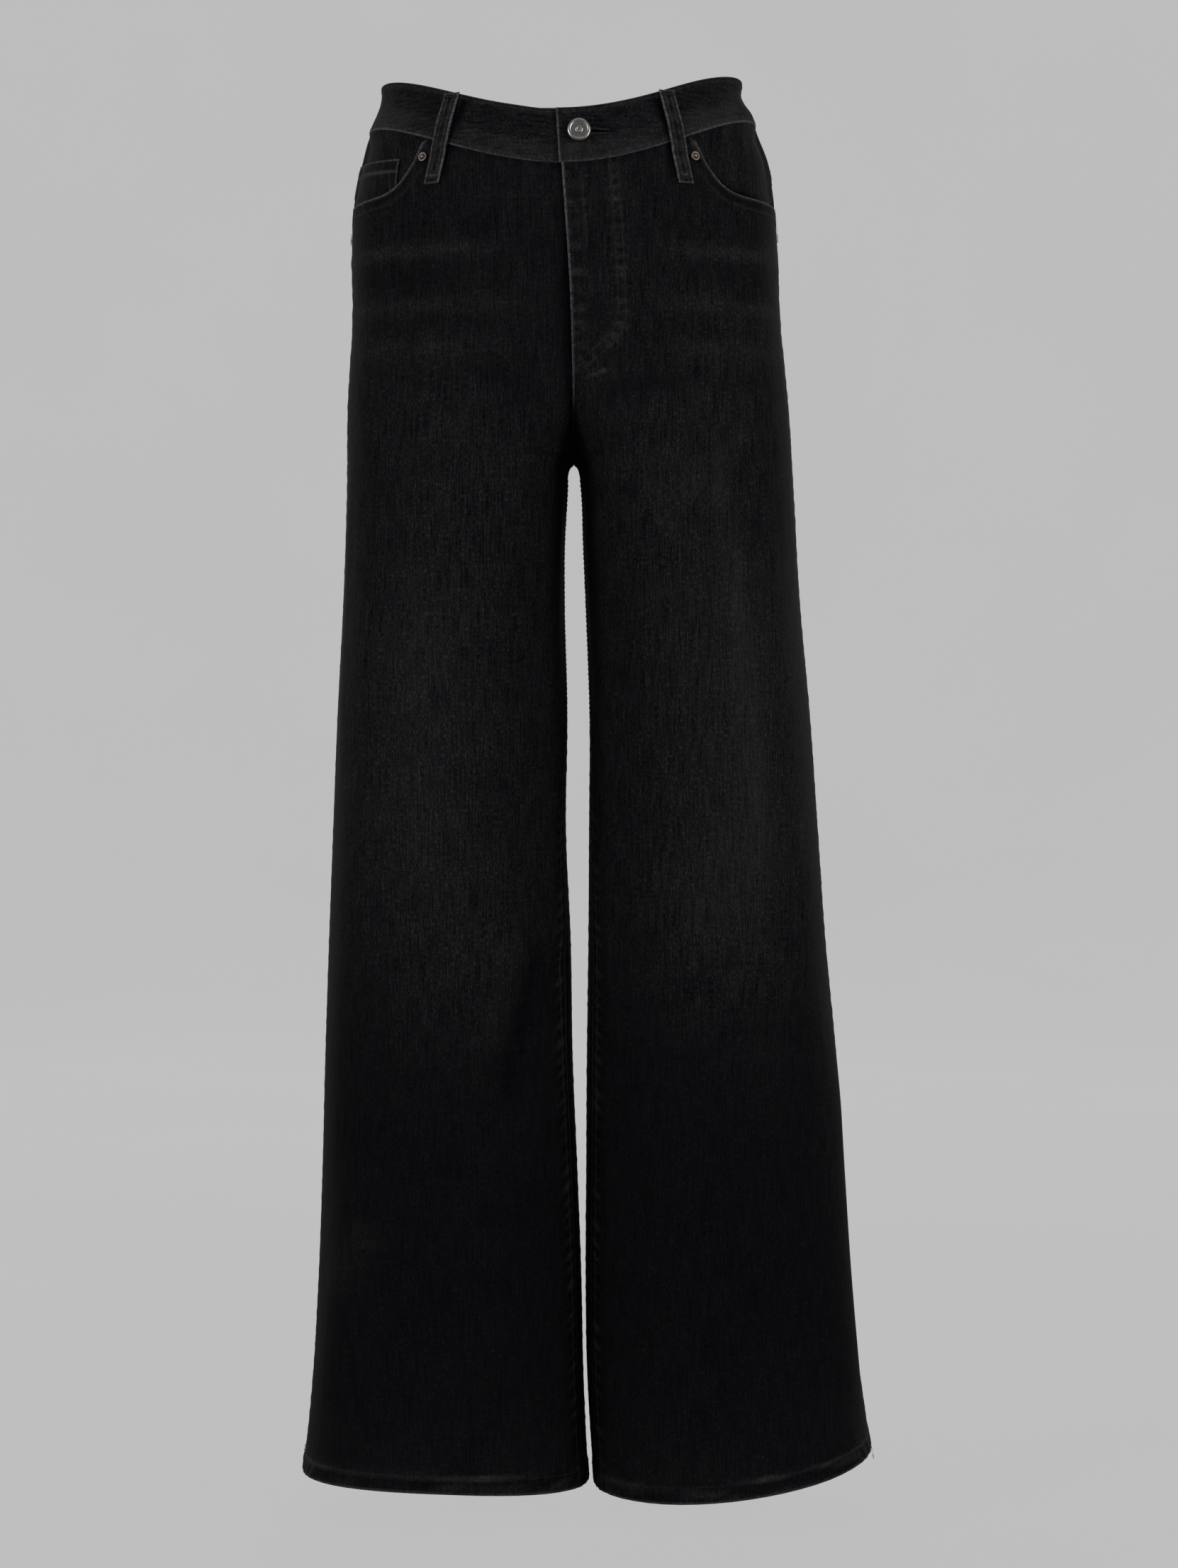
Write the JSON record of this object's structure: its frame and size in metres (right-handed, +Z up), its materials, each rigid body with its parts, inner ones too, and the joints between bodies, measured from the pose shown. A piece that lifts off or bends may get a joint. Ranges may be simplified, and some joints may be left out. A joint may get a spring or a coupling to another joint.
{
  "type": "palazzo jeans",
  "caption": "Wide-leg palazzo jeans in washed black stretch denim, with a shaped waistband, closed fly, shank button, belt loops, front, coin and back patch pockets.",
  "frame": {"origin": "centre of the waist opening, level with the middle of the waistband's upper edge", "axes": "+X towards the wearer's left, -Y towards the front, +Z up; the legs hang down -Z"},
  "size_m": [0.42, 0.2315, 1.0426],
  "materials": {
    "denim": "washed black denim twill, soft and matt with slub streaks",
    "pocketing": "plain-woven dark cotton pocketing, matt",
    "zip_tape": "woven zip tape, matt",
    "button_metal": "antique silver, worn bright on its rings",
    "rivet_metal": "dull antique metal with a bright nub"
  },
  "bodies": {
    "root": {"front_right": "denim", "front_left": "denim", "back_right": "denim", "back_left": "denim", "yoke_right": "denim", "yoke_left": "denim", "waistband": "denim", "pocket_facing_right": "denim", "pocket_facing_left": "denim", "pocket_bag_right": "pocketing", "pocket_bag_left": "pocketing", "coin_pocket": "denim", "back_pocket_right": "denim", "back_pocket_left": "denim", "fly_facing": "denim", "fly_shield": "denim", "zip_tape": "zip_tape", "belt_loop_front_right": "denim", "belt_loop_front_left": "denim", "belt_loop_back_right": "denim", "belt_loop_back_left": "denim", "belt_loop_back_centre": "denim", "button": "button_metal", "rivet_right": "rivet_metal", "rivet_left": "rivet_metal"}
  },
  "joints": []
}
